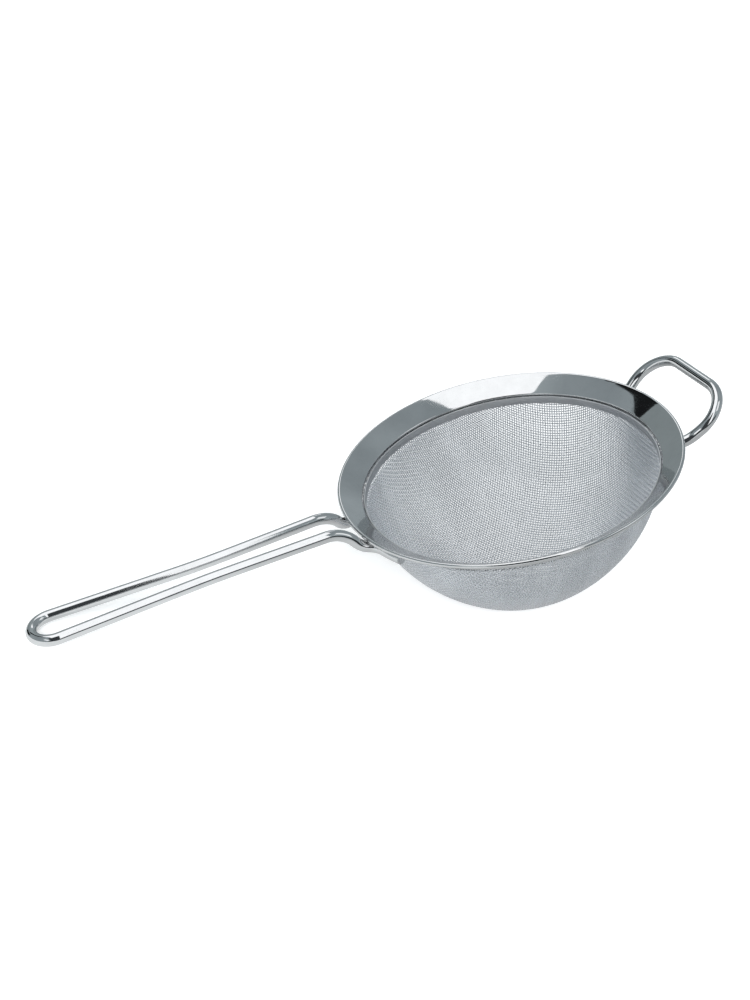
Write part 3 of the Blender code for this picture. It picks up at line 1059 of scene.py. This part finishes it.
# %% [markdown]
# ## Weaving the wires
# In a plain weave each wire passes over one crossing and under the next. At a crossing the two wires
# touch, so each centre line stands half a wire to its own side of the surface. Between two crossings it
# passes through the surface. That gives every wire its crimp, and the crimps give the cloth its sparkle.

# %% Spread the quarter over the whole bowl
WEAVE_TURN = math.radians(45.0) # the wires run at this angle to the handle


def whole_cloth():
    """Crossing points and the direction into the bowl, for every pair of wires."""
    size = 2 * half_count + 1
    reach = np.full((size, size), np.nan)
    angle = np.full((size, size), np.nan)
    steps = np.arange(-half_count, half_count + 1)
    i, j = np.meshgrid(steps, steps, indexing="ij")
    quarters = (
        ((i >= 0) & (j >= 0), i, j),
        ((i < 0) & (j >= 0), j, -i),
        ((i < 0) & (j < 0), -i, -j),
        ((i >= 0) & (j < 0), -j, i),
    )
    for number, (inside, first, second) in enumerate(quarters):
        reach[inside] = quarter_reach[first[inside], second[inside]]
        angle[inside] = quarter_angle[first[inside], second[inside]] + number * math.pi / 2
    angle += WEAVE_TURN
    tilt = np.interp(reach, along, slope)
    inward = np.stack([-np.sin(tilt) * np.cos(angle), -np.sin(tilt) * np.sin(angle), np.cos(tilt)], axis=-1)
    inward[np.isnan(reach)] = np.nan
    points = on_bowl(reach, angle)
    points[np.isnan(reach)] = np.nan
    return points, inward


crossings, inward = whole_cloth()
print(f"{np.isfinite(crossings[:, :, 0]).sum()} crossings in the whole bowl")


# %% The path of one wire
def woven_wire(row_points, row_inward, over):
    """One wire: over and under at the crossings, through the surface half-way between them."""
    kept = np.isfinite(row_points[:, 0])
    points, side = row_points[kept], row_inward[kept]
    crimp = np.where((np.arange(len(kept))[kept] + over) % 2 == 0, 1.0, -1.0)[:, None] * CLOTH_WIRE_R
    path = np.empty((2 * len(points) - 1, 3))
    path[0::2] = points + side * crimp
    path[1::2] = (points[:-1] + points[1:]) / 2
    return path


# %% [markdown]
# ## Wire cloth finish
# The cloth's wire is drawn and bright, but too thin to be polished: it has a soft shine, with small
# differences from wire to wire and a slight dulling where tea has been. Broad soft bands of painted
# sheen, lighter and darker, run across the cloth from one side to the other. The warp is a little
# smoother than the weft, and a little brighter: painted light and shade on the same wire.

# %% Wire cloth finish
# Broad soft bands of painted sheen make the cloth's colour lighter and darker across the bowl.
SHEEN_BAND_TURN = math.radians(8.0)
SHEEN_BAND_SCALE = (0.13, 0.014, 0.014)
SHEEN_BAND_TONE, WIRE_TONE = 0.7, 0.3 # how much the painted sheen bands and the wires' own tone add to the change of colour
DRAWN_SIZE, STAIN_SIZE = 2.2, 0.07
DRAWN_DULLS, STAIN_DULLS = 0.08, 0.08
DRAWN_DEPTH = 0.004


def cloth_finish(name, bright, dull, gloss):
    """Softly shining drawn wire between a bright and a dull colour."""
    material, tree, shader = node_material(name)
    level = place_group(tree, rim_level).outputs["Place"]
    drawn = place_noise(tree, level, DRAWN_SIZE, detail=3.0)
    stain = place_noise(tree, level, STAIN_SIZE, detail=4.0, roughness=0.6)
    # Painted sheen: stretched noise lays broad soft lighter and darker bands over the colour.
    sheen_band_lay = tree.nodes.new("ShaderNodeMapping")
    sheen_band_lay.inputs["Rotation"].default_value = (0.0, 0.0, SHEEN_BAND_TURN)
    sheen_band_lay.inputs["Scale"].default_value = SHEEN_BAND_SCALE
    tree.links.new(level, sheen_band_lay.inputs["Vector"])
    sheen_bands = place_noise(tree, sheen_band_lay.outputs["Vector"], 1.0, detail=2.0)
    painted_sheen = place_range(tree, sheen_bands.outputs["Fac"], 0.0, SHEEN_BAND_TONE, 0.35, 0.65)
    tone = place_math(tree, "ADD", painted_sheen, place_range(tree, drawn.outputs["Fac"], 0.0, WIRE_TONE))
    colour = place_blend(tree, tone, bright, dull)
    rough = place_math(tree, "ADD", place_range(tree, drawn.outputs["Fac"], gloss, gloss + DRAWN_DULLS),
                       place_range(tree, stain.outputs["Fac"], 0.0, STAIN_DULLS))
    shader.inputs["Metallic"].default_value = 1.0
    tree.links.new(colour, shader.inputs["Base Color"])
    tree.links.new(rough, shader.inputs["Roughness"])
    tree.links.new(place_bump(tree, drawn.outputs["Fac"], DRAWN_DEPTH * MM), shader.inputs["Normal"])
    return material


# The same wire in two tones: the warp is painted lighter and the weft darker, painted light and shade on the
# knuckles of each direction.
warp_finish = cloth_finish("cloth_warp_wire", (0.90, 0.92, 0.95), (0.75, 0.77, 0.80), 0.18)
weft_finish = cloth_finish("cloth_weft_wire", (0.84, 0.86, 0.89), (0.69, 0.71, 0.74), 0.22)
print("finishes", warp_finish.name, weft_finish.name)

# %% Weave the cloth
CLOTH_STRIPS = 3
CLOTH_SIDES = 6
FEWEST_CROSSINGS = 4            # a shorter wire wouldn't hold at the hem
CLOTH_HARD_EDGE = 75.0          # six sides make a wire whose edges still have to be shaded round


def weave_direction(name, rows, rows_inward, over, material):
    """All the wires of one direction, in a few strips so that each piece stays light."""
    lengths = np.isfinite(rows[:, :, 0]).sum(axis=1)
    share = np.cumsum(lengths) / lengths.sum()
    strip_of = np.minimum((share * CLOTH_STRIPS).astype(int), CLOTH_STRIPS - 1)
    for strip in range(CLOTH_STRIPS):
        chosen = np.flatnonzero((lengths >= FEWEST_CROSSINGS) & (strip_of == strip))
        paths = [woven_wire(rows[k], rows_inward[k], over + k) for k in chosen]
        bm = thread_wires(name, paths, CLOTH_WIRE_R, CLOTH_SIDES)
        finish_piece(f"{name}_{strip + 1}", bm, material, "wire_cloth", "mesh_bowl",
                     hard_edge=CLOTH_HARD_EDGE)


weave_direction("cloth_warp", crossings, inward, 0, warp_finish)
weave_direction("cloth_weft", crossings.transpose(1, 0, 2), inward.transpose(1, 0, 2), 1, weft_finish)
